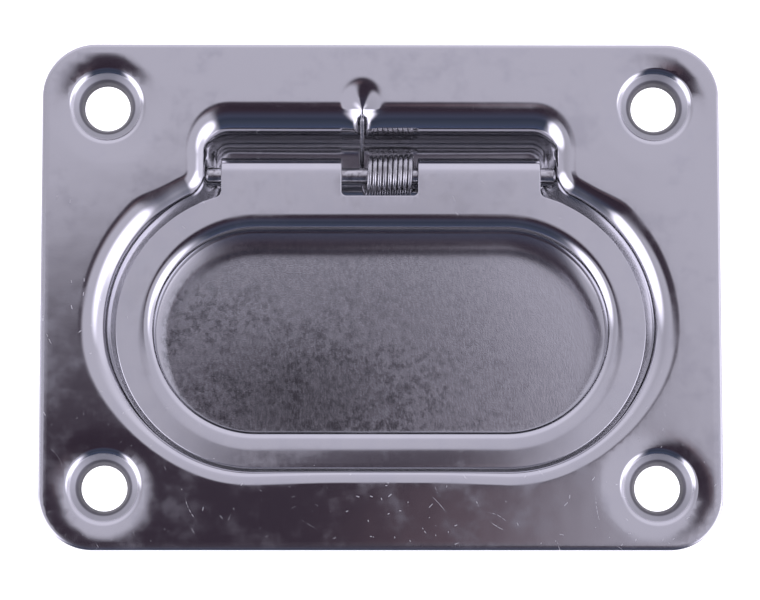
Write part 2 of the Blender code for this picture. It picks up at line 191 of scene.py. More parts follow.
# Mesh fineness: spacings, turns and numbers of rows
FINE = 0.5 * MM
POCKET_FINE = FINE * 0.35
GRID = 0.9 * MM
GRID_GAP = 0.45
SEAT_GRID = 0.24 * MM
SEAT_GRID_GAP = 0.12 * MM
SEAT_GRID_REACH = 4.2 * MM
WELD = 0.0005 * MM
BIG_ARC = 5 * MM
BIG_ARC_TURN = math.radians(2.0)
CORNER_TURN = math.radians(6.0)
ROUND_ROWS = 4
DISH_ROWS = 6
ROLL_ROWS = 16
WALL_ROWS = 6
SHELF_ROWS = 7
FLOOR_ROWS = 22
DIMPLE_ROWS = 9
THROAT_ROWS = 6
HOLE_SIDES = 96
GRIP_ROWS = 4
CURL_ROWS = 60
PIN_SIDES = 48
PIN_HEAD_ROWS = 6
WIRE_SIDES = 14
WIRE_DOME = (0.15, 1.0, 4)
HOOK_ROWS = 8
LEG_ROWS = 12
TURN_ROWS = 44
COIL_FIRST_ROW = 3
COIL_GROW_ROWS = 12
COIL_SHIFT_ROWS = 26


# ---- outlines -------------------------------------------------------------------------------

def steps(start, end, count):
    """Evenly spaced values from start to end, both ends included."""
    return [start + (end - start) * i / count for i in range(count + 1)]


def unit(angle):
    return np.array((math.cos(angle), math.sin(angle)))


def arc(x, y, radius, start, end, hollow=False):
    """One corner of an outline: points and outward normals. A hollow one turns inwards."""
    turn = BIG_ARC_TURN if radius > BIG_ARC else CORNER_TURN
    count = max(2, math.ceil(abs(end - start) / turn - 1e-6))
    side = -1 if hollow else 1
    return [(np.array((x, y)) + unit(a) * radius, unit(a) * side)
            for a in steps(start, end, count)]


def run(line, spacing=FINE):
    """The outline with points added along its straight stretches."""
    full = [line[0]]
    for (p, n), (q, m) in zip(line, line[1:]):
        count = max(1, round(float(np.linalg.norm(q - p)) / spacing))
        full += [(p + (q - p) * i / count, n + (m - n) * i / count) for i in range(1, count + 1)]
    return full


def offset(outline, distance):
    return np.array([p + n * distance for p, n in outline])


def stadium(half, radius, y):
    """Oblong with round ends, counterclockwise, with no point twice."""
    right = arc(half, y, radius, -QUARTER, QUARTER)
    left = arc(-half, y, radius, QUARTER, 3 * QUARTER)
    return run(right + left + right[:1])[:-1]


def ease(value, low, high):
    """Smooth step from 0, at low, to 1, at high."""
    share = min(max((value - low) / (high - low), 0.0), 1.0)
    return share * share * (3 - 2 * share)


def mix(first, second, share):
    return tuple(a + (b - a) * share for a, b in zip(first, second))


def smooth_min(a, b, blend):
    """The lower of two heights, rounded over where they are close."""
    overlap = max(blend - abs(a - b), 0.0) / blend
    return min(a, b) - overlap * overlap * blend / 4


def seat_press(x, y, z):
    """Height of the pan's surface once the punch for the spring's leg has dented it."""
    along = y - POCKET_TOP
    if along < -SHELF_FILLET or z < FRONT - SHELF_DEPTH / 2:
        return z
    side = abs(x - SEAT_X)
    half = SEAT_FOOT_HALF * (1 - along / SEAT_LENGTH)
    if half < 0:
        out = math.hypot(side, along - SEAT_LENGTH)
        slope = SEAT_FLANK - SEAT_CROWN * (along - SEAT_LENGTH) / out
    else:
        out = (side - half) * SEAT_LENGTH / math.hypot(SEAT_LENGTH, SEAT_FOOT_HALF)
        slope = SEAT_FLANK if out > 0 else SEAT_GROOVE
    return smooth_min(z, FRONT - SEAT_DEPTH + slope * max(out, -SEAT_GROOVE_FLOOR), SEAT_BLEND)


def bend(dish, tilt, roll, end):
    """Profile of a bent edge: a shallow dish, then a tight roll. Rows of reach and drop."""
    profile = []
    for angle in steps(0, tilt, DISH_ROWS):
        share = angle / tilt
        profile.append((dish * share, dish * share * math.tan(angle / 2)))
    reach, drop = profile[-1]
    for angle in steps(tilt, end, ROLL_ROWS)[1:]:
        profile.append((reach + roll * (math.sin(angle) - math.sin(tilt)),
                        drop + roll * (math.cos(tilt) - math.cos(angle))))
    return profile


def pan_outline():
    """The recess's wall line in three parts: right end, hinge pocket across the top, left end."""
    corner_x = POCKET_HALF - POCKET_CORNER
    corner_y = POCKET_TOP - POCKET_CORNER

    right = arc(TUB_HALF, TUB_Y, TUB_RADIUS, -QUARTER, FILLET_JOIN)
    left = arc(-TUB_HALF, TUB_Y, TUB_RADIUS, math.pi - FILLET_JOIN, 3 * QUARTER)
    pocket = arc(FILLET_X, FILLET_Y, POCKET_INNER_FILLET, math.pi + FILLET_JOIN, math.pi,
                 hollow=True)
    pocket += arc(corner_x, corner_y, POCKET_CORNER, 0, QUARTER)
    pocket += arc(-corner_x, corner_y, POCKET_CORNER, QUARTER, math.pi)
    pocket += arc(-FILLET_X, FILLET_Y, POCKET_INNER_FILLET, 0, -FILLET_JOIN, hollow=True)
    left += run([left[-1], right[0]])[1:-1]
    right, left = ([(p - n * TUB_PINCH * ease(p[1], *TUB_PINCH_Y), n) for p, n in line]
                   for line in (right, left))
    return right, run(pocket, POCKET_FINE)[1:-1], left


def tub_under_pocket(along):
    """Point and normal on the tub's wall line under the pocket, at a share of its length."""
    curve = TUB_RADIUS * (QUARTER - FILLET_JOIN)
    place = along * (2 * curve + 2 * TUB_HALF) - curve - TUB_HALF
    side = math.copysign(1, -place)
    turn = max(0.0, abs(place) - TUB_HALF) / TUB_RADIUS
    direction = np.array((side * math.sin(turn), math.cos(turn)))
    centre = np.array((side * min(abs(place), TUB_HALF), TUB_Y))
    return centre + direction * TUB_RADIUS, direction


def wall_offset(z):
    """How far the recess's wall stands from its wall line at a height under the rim."""
    floor = FRONT - TUB_DEPTH
    turn = floor + FLOOR_FILLET * (1 - math.sin(WALL_DRAFT))
    if z > turn:
        return WALL_TOP - (FRONT - z) * math.tan(WALL_DRAFT)
    centre = wall_offset(turn + 1e-9) - FLOOR_FILLET * math.cos(WALL_DRAFT)
    sine = min(1.0, 1 - (z - floor) / FLOOR_FILLET)
    return centre + FLOOR_FILLET * math.sqrt(1 - sine * sine)


def rim_profile(point):
    """Offset and height of each row of the rim at a place on the wall line. Tight at the bottom."""
    x, y = point
    right = ease(x, *RIM_RIGHT_X) * (1 - ease(y, *RIM_SHOULDER_Y))
    tight = ease(y, *RIM_TIGHT_Y) * (1 - RIM_TIGHT_LOSS * ease(abs(x), *RIM_TIGHT_X))
    dish, tilt, roll = mix(mix(RIM_LEFT, RIM_RIGHT, right), RIM_BOTTOM, tight)
    corner = math.hypot(abs(x) - FILLET_X, y - FILLET_Y)
    near = ease(corner, POCKET_INNER_FILLET + RIM_SQUEEZE_REACH, POCKET_INNER_FILLET)
    squeeze = 1 - RIM_SQUEEZE * near
    profile = bend(dish * squeeze, tilt, roll * squeeze, QUARTER - WALL_DRAFT)
    reach, drop = profile[-1]
    end = wall_offset(FRONT - drop)
    return [(end + reach - r, FRONT - d) for r, d in profile]


def lower_rows():
    """Rows below the wall: height, reach over the shelf, and where that starts."""
    rows = []
    shelf = FRONT - SHELF_DEPTH + SHELF_FALL / 2
    for angle in steps(0, QUARTER, SHELF_ROWS):
        rows.append((shelf + SHELF_FILLET * (1 - math.sin(angle)),
                     SHELF_FILLET * (1 - math.cos(angle)), "wall"))
    for angle in steps(0, QUARTER, SHELF_ROWS):
        rows.append((shelf - SHELF_FALL - SHELF_EDGE * (1 - math.cos(angle)),
                     SHELF_EDGE * (1 - math.sin(angle)), "edge"))
    floor = FRONT - TUB_DEPTH
    entry = math.asin(1 - (rows[-1][0] - floor) / FLOOR_FILLET)
    for angle in steps(entry, QUARTER, FLOOR_ROWS)[1:]:
        rows.append((floor + FLOOR_FILLET * (1 - math.sin(angle)), 0.0, "edge"))
    return rows


def pan_rings():
    """Rings of the recess, from the flange down to the floor."""
    right, pocket, left = pan_outline()
    upper = right + pocket + left
    path = [right[-1][0]] + [p for p, _ in pocket] + [left[0][0]]
    lengths = np.cumsum([np.linalg.norm(b - a) for a, b in zip(path, path[1:])])
    lower = right + [tub_under_pocket(s / lengths[-1]) for s in lengths[:-1]] + left

    columns = []
    rows = lower_rows()
    for (top, top_normal), (foot, foot_normal) in zip(upper, lower):
        column = [(top + top_normal * wall, z) for wall, z in rim_profile(top)]
        end = END_SPREAD * ease(top[0], *END_SPREAD_X) * ease(top[1], *END_SPREAD_Y)
        spread = TUB_SPREAD * max(end, ease(top[1], *TUB_SPREAD_Y))
        for z in steps(column[-1][1], rows[0][0], WALL_ROWS)[1:-1]:
            column.append((top + top_normal * wall_offset(z), z))
        width = float(np.linalg.norm(foot - top))
        for z, reach, start in rows:
            wall = wall_offset(z) + spread * ease(z, *TUB_SPREAD_Z)
            outer = top + top_normal * wall
            inner = foot + foot_normal * wall
            share = min(reach / width, SHELF_SHARE) if width > WELD else 0.0
            share = share if start == "wall" else 1 - share
            column.append((outer + (inner - outer) * share, z))
        columns.append([(p[0], p[1], seat_press(p[0], p[1], z)) for p, z in column])
    return [np.array(ring) for ring in zip(*columns)]


def flange_height(x, y):
    """The flange's face: flat, dished a little round each screw hole."""
    distance = math.hypot(abs(x) - HOLE_X, abs(y) - HOLE_Y)
    width = DISH_RADIUS - DIMPLE_RADIUS
    share = min(max((DISH_RADIUS - distance) / width, 0.0), 1.0)
    sink = math.tan(DISH_TILT) * width * share * share / 2
    return seat_press(x, y, FRONT) - sink


def dimple_rings(x, y):
    """Rings of one screw hole, from the flange down to the hole's edge."""
    profile = []
    for angle in steps(DISH_TILT, DIMPLE_SLOPE, DIMPLE_ROWS):
        profile.append((DIMPLE_RADIUS - DIMPLE_BEND * (math.sin(angle) - math.sin(DISH_TILT)),
                        DIMPLE_BEND * (math.cos(DISH_TILT) - math.cos(angle))))
    radius, depth = profile[-1]
    depth += (radius - DIMPLE_CONE_END) * math.tan(DIMPLE_SLOPE)
    for angle in steps(DIMPLE_SLOPE, DIMPLE_THROAT_SLOPE, THROAT_ROWS):
        inward = DIMPLE_THROAT * (math.sin(angle) - math.sin(DIMPLE_SLOPE))
        profile.append((DIMPLE_CONE_END - inward,
                        depth + DIMPLE_THROAT * (math.cos(DIMPLE_SLOPE) - math.cos(angle))))
    radius, depth = profile[-1]
    profile.append((HOLE_RADIUS, depth + (radius - HOLE_RADIUS) * math.tan(DIMPLE_THROAT_SLOPE)))
    rings = []
    for radius, depth in profile:
        ring = []
        for a in steps(0, math.tau, HOLE_SIDES)[:-1]:
            rim = np.array((x, y)) + unit(a) * DIMPLE_RADIUS
            ring.append((*(np.array((x, y)) + unit(a) * radius), flange_height(*rim) - depth))
        rings.append(np.array(ring))
    return rings


# ---- sheet metal ----------------------------------------------------------------------------

class Skin:
    """The visible face of a pressed sheet, gathered patch by patch."""

    def __init__(self):
        self.points = []
        self.faces = []

    def add(self, points, faces):
        first = len(self.points)
        self.points += [tuple(p) for p in points]
        self.faces += [tuple(first + i for i in face) for face in faces]

    def rows(self, rings, closed=True):
        """Faces between neighbouring rings of equal length."""
        count = len(rings[0])
        faces = []
        for k in range(len(rings) - 1):
            for i in range(count if closed else count - 1):
                j = (i + 1) % count
                low, high = k * count, (k + 1) * count
                faces.append((low + i, low + j, high + j, high + i))
        self.add(np.concatenate(rings), faces)

    def sheet(self, outer, holes, height, spacing=GRID, fine=None):
        """Patch between an outer loop and its holes, with a regular grid of points inside.

        fine is the centre, reach and spacing of a closer grid.
        """
        loops = [np.asarray(loop)[:, :2] for loop in [outer] + holes]
        low, high = loops[0].min(0), loops[0].max(0)
        across = np.arange(low[0] + spacing / 2, high[0], spacing)
        upward = np.arange(low[1] + spacing / 2, high[1], spacing)
        grid = np.array([(x, y) for x in across for y in upward])
        gap = spacing * GRID_GAP
        if fine:
            centre, reach, close = fine
            gap = SEAT_GRID_GAP
            grid = grid[np.linalg.norm(grid - centre, axis=1) > reach]
            line = steps(-reach, reach, round(2 * reach / close))
            extra = np.array([(x, y) for x in line for y in line if math.hypot(x, y) < reach])
            grid = np.concatenate((grid, extra + centre))
        keep = inside(grid, loops[0])
        for loop in loops:
            keep &= distance_to(grid, loop) > gap
        for loop in loops[1:]:
            keep &= ~inside(grid, loop)
        points, edges = [], []
        for loop in loops:
            first = len(points)
            points += list(loop)
            edges += [(first + i, first + (i + 1) % len(loop)) for i in range(len(loop))]
        points += list(grid[keep])
        plan, _, faces = delaunay_2d_cdt([Vector(p) for p in points], edges, [], 0, WELD)[:3]
        plan = np.array([(p.x, p.y) for p in plan])
        centres = np.array([plan[list(face)].mean(0) for face in faces])
        keep = inside(centres, loops[0])
        for loop in loops[1:]:
            keep &= ~inside(centres, loop)
        self.add([(x, y, height(x, y)) for x, y in plan], [f for f, k in zip(faces, keep) if k])

    def mesh(self):
        """Welded bmesh of the skin, with no stray points."""
        made = bmesh.new()
        verts = [made.verts.new(p) for p in self.points]
        for face in self.faces:
            made.faces.new([verts[i] for i in face])
        bmesh.ops.delete(made, geom=[v for v in made.verts if not v.link_faces], context="VERTS")
        bmesh.ops.remove_doubles(made, verts=made.verts, dist=WELD)
        return made


def inside(points, loop):
    """Which plan points lie in a closed loop."""
    hits = np.zeros(len(points), int)
    for a, b in zip(loop, np.roll(loop, -1, axis=0)):
        if a[1] == b[1]:
            continue
        crosses = (a[1] > points[:, 1]) != (b[1] > points[:, 1])
        at = a[0] + (points[:, 1] - a[1]) / (b[1] - a[1]) * (b[0] - a[0])
        hits += crosses & (points[:, 0] < at)
    return hits % 2 == 1


def distance_to(points, loop):
    """Distance from each plan point to a closed loop."""
    best = np.full(len(points), np.inf)
    for a, b in zip(loop, np.roll(loop, -1, axis=0)):
        along = b - a
        share = np.clip(((points - a) @ along) / max(float(along @ along), 1e-18), 0, 1)
        best = np.minimum(best, np.linalg.norm(points - a - share[:, None] * along, axis=1))
    return best


def boundary_loops(mesh):
    """Chains of boundary vertices, each running with its face on the left."""
    after = {}
    for edge in mesh.edges:
        if len(edge.link_loops) == 1:
            loop = edge.link_loops[0]
            after[loop.vert] = loop.link_loop_next.vert
    chains = []
    while after:
        start = next(iter(after))
        chain = [start]
        here = after.pop(start)
        while here != start:
            chain.append(here)
            here = after.pop(here)
        chains.append(chain)
    return chains


def thicken(mesh, thickness, rounding):
    """Adds the hidden face behind a skin and rounded edges between the two faces.

    Leaves two vertex layers for the materials: wear on the edges, and which side is the back.
    """
    mesh.normal_update()
    mesh.verts.index_update()
    wear = mesh.verts.layers.float.new("wear")
    back_side = mesh.verts.layers.float.new("back")
    fronts = list(mesh.verts)
    chains = boundary_loops(mesh)
    normals = {v: v.normal.copy() for v in fronts}
    places = {v: v.co.copy() for v in fronts}
    faces = list(mesh.faces)
    backs = {v: mesh.verts.new(places[v] - normals[v] * thickness) for v in fronts}
    for back in backs.values():
        back[back_side] = 1.0
    for face in faces:
        mesh.faces.new([backs[v] for v in reversed(face.verts)])
    for chain in chains:
        count = len(chain)
        strips = []
        for i, v in enumerate(chain):
            toward = places[chain[(i + 1) % count]] - places[chain[i - 1]]
            out = toward.cross(normals[v]).normalized()
            reach, drop = rounding(places[v])
            edge = []
            for angle in steps(0, QUARTER, ROUND_ROWS)[1:]:
                fall = normals[v] * drop * (1 - math.cos(angle))
                edge.append(places[v] + out * reach * math.sin(angle) - fall)
            back_round = min(reach, drop, EDGE_ROUND)
            for angle in steps(QUARTER, 0, ROUND_ROWS):
                lift = normals[v] * back_round * (1 - math.cos(angle))
                edge.append(backs[v].co + out * (reach - back_round * (1 - math.sin(angle))) + lift)
            strip = [mesh.verts.new(place) for place in edge]
            for made in strip:
                made[wear] = 1.0
            v[wear] = 0.5
            strips.append([v] + strip + [backs[v]])
        for i in range(count):
            here, there = strips[i], strips[(i + 1) % count]
            for k in range(len(here) - 1):
                mesh.faces.new((here[k], here[k + 1], there[k + 1], there[k]))
    bmesh.ops.remove_doubles(mesh, verts=mesh.verts, dist=WELD)


def even_normals(data):
    """Vertex normals weighted by area, so flat faces stay flat beside their rounded edges."""
    sums = np.zeros((len(data.vertices), 3))
    for face in data.polygons:
        sums[list(face.vertices)] += np.array(face.normal) * face.area
    lengths = np.linalg.norm(sums, axis=1, keepdims=True)
    data.normals_split_custom_set_from_vertices(sums / np.maximum(lengths, 1e-30))


def to_object(mesh, name, look, body, node):
    """A finished piece that stands for one CAD node."""
    data = bpy.data.meshes.new(name)
    mesh.to_mesh(data)
    mesh.free()
    data.shade_smooth()
    even_normals(data)
    made = bpy.data.objects.new(name, data)
    data.materials.append(look)
    bpy.context.scene.collection.objects.link(made)
    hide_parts(node)
    if body:
        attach(made, body)
    return made


# ---- pieces ---------------------------------------------------------------------------------

def make_plate(look):
    skin = Skin()
    corner_x = PLATE_X - PLATE_CORNER
    corner_y = PLATE_Y - PLATE_CORNER
    outline = []
    for quarter, (sx, sy) in enumerate(((1, -1), (1, 1), (-1, 1), (-1, -1))):
        start = (quarter - 1) * QUARTER
        outline += arc(sx * corner_x, sy * corner_y, PLATE_CORNER, start, start + QUARTER)
    outer = offset(run(outline + outline[:1])[:-1], -RIM_ROUND[0])

    rings = pan_rings()
    skin.rows(rings)
    floor_z = rings[-1][0][2]
    skin.sheet(rings[-1], [], lambda x, y: floor_z)
    loops = [rings[0]]
    for x in (-HOLE_X, HOLE_X):
        for y in (-HOLE_Y, HOLE_Y):
            dimple = dimple_rings(x, y)
            skin.rows(dimple)
            loops.append(dimple[0])
    seat = np.array((SEAT_X, POCKET_TOP + SEAT_LENGTH))
    skin.sheet(outer, loops, flange_height, fine=(seat, SEAT_GRID_REACH, SEAT_GRID))
    mesh = skin.mesh()

    def rounding(place):
        x, y = abs(place.x), abs(place.y)
        corner = x > corner_x and y > corner_y
        corner = corner and math.hypot(x - corner_x, y - corner_y) > PLATE_CORNER - RIM_MARGIN
        rim = corner or x > PLATE_X - RIM_MARGIN or y > PLATE_Y - RIM_MARGIN
        return RIM_ROUND if rim else (EDGE_ROUND, EDGE_ROUND)

    thicken(mesh, SHEET, rounding)
    return to_object(mesh, "pan_plate", look, "base", "base_plate")


def handle_outline():
    """Lift ring's outline up to the pin's line, with its two tabs and the notch between them."""
    reach = RING_RADIUS + TAB_FILLET
    fillet_x = TAB_HALF + TAB_FILLET
    join = math.acos((fillet_x - RING_HALF) / reach)
    fillet_y = RING_Y + reach * math.sin(join)
    notch_y = NOTCH_BOTTOM + NOTCH_FILLET
    line = arc(RING_HALF, RING_Y, RING_RADIUS, -QUARTER, join)
    line += arc(fillet_x, fillet_y, TAB_FILLET, math.pi + join, math.pi, hollow=True)[1:]
    line.append((np.array((TAB_HALF, PIN_Y)), np.array((1.0, 0.0))))
    line.append((np.array((NOTCH_RIGHT, PIN_Y)), np.array((-1.0, 0.0))))
    line += arc(NOTCH_RIGHT - NOTCH_FILLET, notch_y, NOTCH_FILLET, 0, -QUARTER, hollow=True)
    line += arc(NOTCH_LEFT + NOTCH_FILLET, notch_y, NOTCH_FILLET, -QUARTER, -math.pi, hollow=True)
    line.append((np.array((NOTCH_LEFT, PIN_Y)), np.array((1.0, 0.0))))
    line.append((np.array((-TAB_HALF, PIN_Y)), np.array((-1.0, 0.0))))
    line += arc(-fillet_x, fillet_y, TAB_FILLET, 0, -join, hollow=True)[:-1]
    line += arc(-RING_HALF, RING_Y, RING_RADIUS, math.pi - join, 3 * QUARTER)
    return [(p - n * EDGE_ROUND, n) for p, n in line]


def make_handle(look):
    skin = Skin()
    columns = []
    for point, normal in stadium(GRIP_HALF, GRIP_RADIUS, GRIP_Y):
        profile = bend(*mix(GRIP_TOP, GRIP_BOTTOM, ease(point[1], *GRIP_LOW_Y)), QUARTER)
        reach, drop = profile[-1]
        column = [(*(point + normal * (reach - r)), HANDLE_TOP - d) for r, d in profile]
        for depth in steps(drop, GRIP_FLANGE - EDGE_ROUND, GRIP_ROWS)[1:]:
            column.append((*point, HANDLE_TOP - depth))
        columns.append(column)
    rings = [np.array(ring) for ring in zip(*columns)]
    skin.rows(rings)
    line = handle_outline()
    outer = run(line + line[:1])[:-1]
    skin.sheet(offset(outer, 0), [rings[0]], lambda x, y: HANDLE_TOP)
    for left, right in ((-TAB_HALF, NOTCH_LEFT), (NOTCH_RIGHT, TAB_HALF)):
        left += EDGE_ROUND
        right -= EDGE_ROUND
        across = steps(left, right, round((right - left) / FINE))
        rows = []
        for angle in steps(QUARTER, CURL_END, CURL_ROWS):
            y, z = unit(angle) * KNUCKLE_RADIUS
            rows.append(np.array([(x, PIN_Y + y, PIN_Z + z) for x in across]))
        skin.rows(rows, closed=False)
    mesh = skin.mesh()
    thicken(mesh, HANDLE_SHEET, lambda place: (EDGE_ROUND, EDGE_ROUND))
    return to_object(mesh, "lift_ring", look, "handle", "lift_handle")


def loft(rings):
    """Closed bmesh through rings of points, with a flat face at each end."""
    mesh = bmesh.new()
    loops = [[mesh.verts.new(point) for point in ring] for ring in rings]
    for near, far in zip(loops, loops[1:]):
        for i in range(len(near)):
            j = (i + 1) % len(near)
            mesh.faces.new((near[i], near[j], far[j], far[i]))
    mesh.faces.new(list(reversed(loops[0])))
    mesh.faces.new(loops[-1])
    return mesh


def tube(points, radius, sides):
    """Closed round wire along a path, with domed ends."""
    points = [Vector(p) for p in points]
    rows = []
    side = (points[1] - points[0]).normalized().orthogonal().normalized()
    for i, point in enumerate(points):
        ahead = (points[min(i + 1, len(points) - 1)] - points[max(i - 1, 0)]).normalized()
        side = (side - ahead * side.dot(ahead)).normalized()
        rows.append((point, side, ahead.cross(side), ahead))

    def dome(row, outward):
        centre, side, up, ahead = row
        return [(centre + ahead * outward * radius * math.sqrt(1 - share * share),
                 side * share, up * share) for share in steps(*WIRE_DOME)[:-1]]

    rings = dome(rows[0], -1) + [row[:3] for row in rows] + dome(rows[-1], 1)[::-1]
    return loft([[centre + (side * math.cos(a) + up * math.sin(a)) * radius
                  for a in steps(0, math.tau, sides)[:-1]] for centre, side, up in rings])


def make_pin(look):
    """Turned pin with a peened head outside each wall of the pocket."""
    head = PIN_END - PIN_HEAD
    half = [(PIN_HEAD_RADIUS * math.sin(a), head + PIN_HEAD * (0.5 + 0.5 * math.cos(a)))
            for a in steps(QUARTER / 8, QUARTER, PIN_HEAD_ROWS)]
    half += [(PIN_HEAD_RADIUS, head + PIN_BEVEL), (PIN_HEAD_RADIUS - PIN_BEVEL, head),
             (PIN_RADIUS + PIN_NECK, head), (PIN_RADIUS, head - PIN_NECK)]
    rings = []
    for radius, x in half + [(radius, -x) for radius, x in reversed(half)]:
        around = [unit(a) * radius for a in steps(0, math.tau, PIN_SIDES)[:-1]]
        rings.append([(x, PIN_Y + y, PIN_Z + z) for y, z in around])
    mesh = loft(rings)
    bmesh.ops.recalc_face_normals(mesh, faces=mesh.faces)
    return to_object(mesh, "pivot_pin", look, "base", "hinge_pin")


def spring_path():
    """Wire's centre line: hook in the right knuckle, coil about the pin, leg up to the ramp."""
    tip = Vector((LEG_TIP_Y - PIN_Y, FRONT - LEG_TIP_DEPTH - PIN_Z))
    rise = math.atan2(tip.y, tip.x) + math.asin(COIL_RADIUS / tip.length)
    leave = rise - QUARTER
    path = []
    hook = unit(HOOK_ANGLE) * HOOK_RADIUS
    for x in steps(COIL_RIGHT + HOOK_LENGTH, COIL_RIGHT + 2.5 * WIRE_RADIUS, HOOK_ROWS):
        path.append((x, PIN_Y + hook[0], PIN_Z + hook[1]))
    sweep = leave + COIL_TURNS * math.tau - HOOK_ANGLE
    count = round(sweep / math.tau * TURN_ROWS)
    for i in range(COIL_FIRST_ROW, count + 1):
        along = i / count
        aside = (SEAT_X - COIL_LEFT) * ease(i, count - COIL_SHIFT_ROWS, count)
        radius = min(COIL_RADIUS,
                     HOOK_RADIUS + (COIL_RADIUS - HOOK_RADIUS) * i / COIL_GROW_ROWS)
        around = unit(HOOK_ANGLE + sweep * along) * radius
        path.append((COIL_RIGHT + (COIL_LEFT - COIL_RIGHT) * along + aside,
                     PIN_Y + around[0] + COIL_LEAN * (1 - along), PIN_Z + around[1]))
    start, end = Vector(path[-1]), Vector((SEAT_X, LEG_TIP_Y, FRONT - LEG_TIP_DEPTH))
    return path + [tuple(start.lerp(end, s)) for s in steps(0, 1, LEG_ROWS)[1:]]


def make_spring(look):
    mesh = tube(spring_path(), WIRE_RADIUS, WIRE_SIDES)
    made = to_object(mesh, "return_spring", look, None, "torsion_spring")
    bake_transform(made)
    return made


# ---- node graphs ----------------------------------------------------------------------------

class Graph:
    """Short names for the nodes of one material or world."""

    def __init__(self, owner):
        owner.use_nodes = True
        self.tree = owner.node_tree

    def node(self, kind, settings=None, **inputs):
        made = self.tree.nodes.new(kind)
        for name, value in (settings or {}).items():
            setattr(made, name, value)
        for name, value in inputs.items():
            self.feed(made.inputs[name.replace("_", " ")], value)
        return made

    def feed(self, socket, value):
        if isinstance(value, bpy.types.NodeSocket):
            self.tree.links.new(value, socket)
        elif value is not None:
            socket.default_value = value

    def math(self, operation, *values):
        made = self.tree.nodes.new("ShaderNodeMath")
        made.operation = operation
        for socket, value in zip(made.inputs, values):
            self.feed(socket, value)
        return made.outputs[0]

    def fold(self, operation, first, rest):
        for value in rest:
            first = self.math(operation, first, value)
        return first

    def add(self, first, *rest):
        return self.fold("ADD", first, rest)

    def times(self, first, *rest):
        return self.fold("MULTIPLY", first, rest)

    def most(self, first, *rest):
        return self.fold("MAXIMUM", first, rest)

    def scaled(self, value, factor, start):
        return self.math("MULTIPLY_ADD", value, factor, start)

    def between(self, value, low, high, start=0.0, end=1.0):
        """Smooth step of value from start, at low, to end, at high."""
        made = self.node("ShaderNodeMapRange", {"interpolation_type": "SMOOTHSTEP"})
        for name, number in (("Value", value), ("From Min", low), ("From Max", high),
                             ("To Min", start), ("To Max", end)):
            self.feed(made.inputs[name], number)
        return made.outputs["Result"]

    def vector(self, operation, *values):
        made = self.tree.nodes.new("ShaderNodeVectorMath")
        made.operation = operation
        for socket, value in zip(made.inputs, values):
            self.feed(socket, value)
        return made.outputs["Value" if operation in ("DOT_PRODUCT", "LENGTH") else "Vector"]

    def split(self, vector):
        made = self.tree.nodes.new("ShaderNodeSeparateXYZ")
        self.feed(made.inputs[0], vector)
        return made.outputs

    def join(self, x, y, z):
        made = self.tree.nodes.new("ShaderNodeCombineXYZ")
        for socket, value in zip(made.inputs, (x, y, z)):
            self.feed(socket, value)
        return made.outputs[0]

    def blend(self, share, a, b):
        """Colour a where share is 0, and b where it is 1."""
        made = self.tree.nodes.new("ShaderNodeMix")
        made.data_type = "RGBA"
        self.feed(made.inputs["Factor"], share)
        for socket, value in zip([s for s in made.inputs if s.type == "RGBA"], (a, b)):
            self.feed(socket, (*value, 1.0) if isinstance(value, tuple) else value)
        return [s for s in made.outputs if s.type == "RGBA"][0]

    def ramp(self, value, stops):
        """Colour by value, through (place, colour) stops."""
        made = self.tree.nodes.new("ShaderNodeValToRGB")
        self.feed(made.inputs[0], value)
        while len(made.color_ramp.elements) < len(stops):
            made.color_ramp.elements.new(0.5)
        for element, (place, color) in zip(made.color_ramp.elements, stops):
            element.position = place
            element.color = (*color, 1.0)
        return made.outputs["Color"]


# ---- materials ------------------------------------------------------------------------------

# Colours of the metals, with painted light and painted shade in some of the plate's greys
STEEL = (0.60, 0.595, 0.615)
PLATE_SMEARED = (0.585, 0.582, 0.61)
HANDLE_SMEARED = (0.58, 0.577, 0.603)
SCRATCHED = (0.80, 0.80, 0.82)
FLOOR_GRAY = (0.53, 0.53, 0.555)
# Dark mottle of the floor, partly painted shade: it is laid on more heavily toward the lower left
FLOOR_BLOTCH_AND_SHADE = (0.30, 0.305, 0.325)
# Painted light: lighter grey toward the floor's right side
FLOOR_PAINTED_LIGHT = (0.66, 0.66, 0.69)
# Painted shade: dark patch on the floor's lower left
FLOOR_PAINTED_SHADE = (0.12, 0.12, 0.13)
FLOOR_STREAK = (0.75, 0.75, 0.76)
# Painted shade in the screw holes' cones
CONE_SHADE_GRAY = (0.47, 0.468, 0.49)
# Painted shade at the screw holes' throats
THROAT_SHADE_GRAY = (0.18, 0.175, 0.19)
PIN_BRIGHT = (0.55, 0.545, 0.56)
PIN_DULL = (0.36, 0.35, 0.36)
WIRE_BRIGHT = (0.50, 0.495, 0.51)
WIRE_DULL = (0.36, 0.355, 0.37)

# Places on the plate, in millimetres
HOLE_PLACE = (HOLE_X / MM, HOLE_Y / MM)
PAN_FLOOR = (FRONT - TUB_DEPTH) / MM
# Scale and shift, across and up, of the painted shade patch on the floor
SHADE_PATCH_X = (0.09, 0.80)
SHADE_PATCH_Y = (0.135, 1.35)


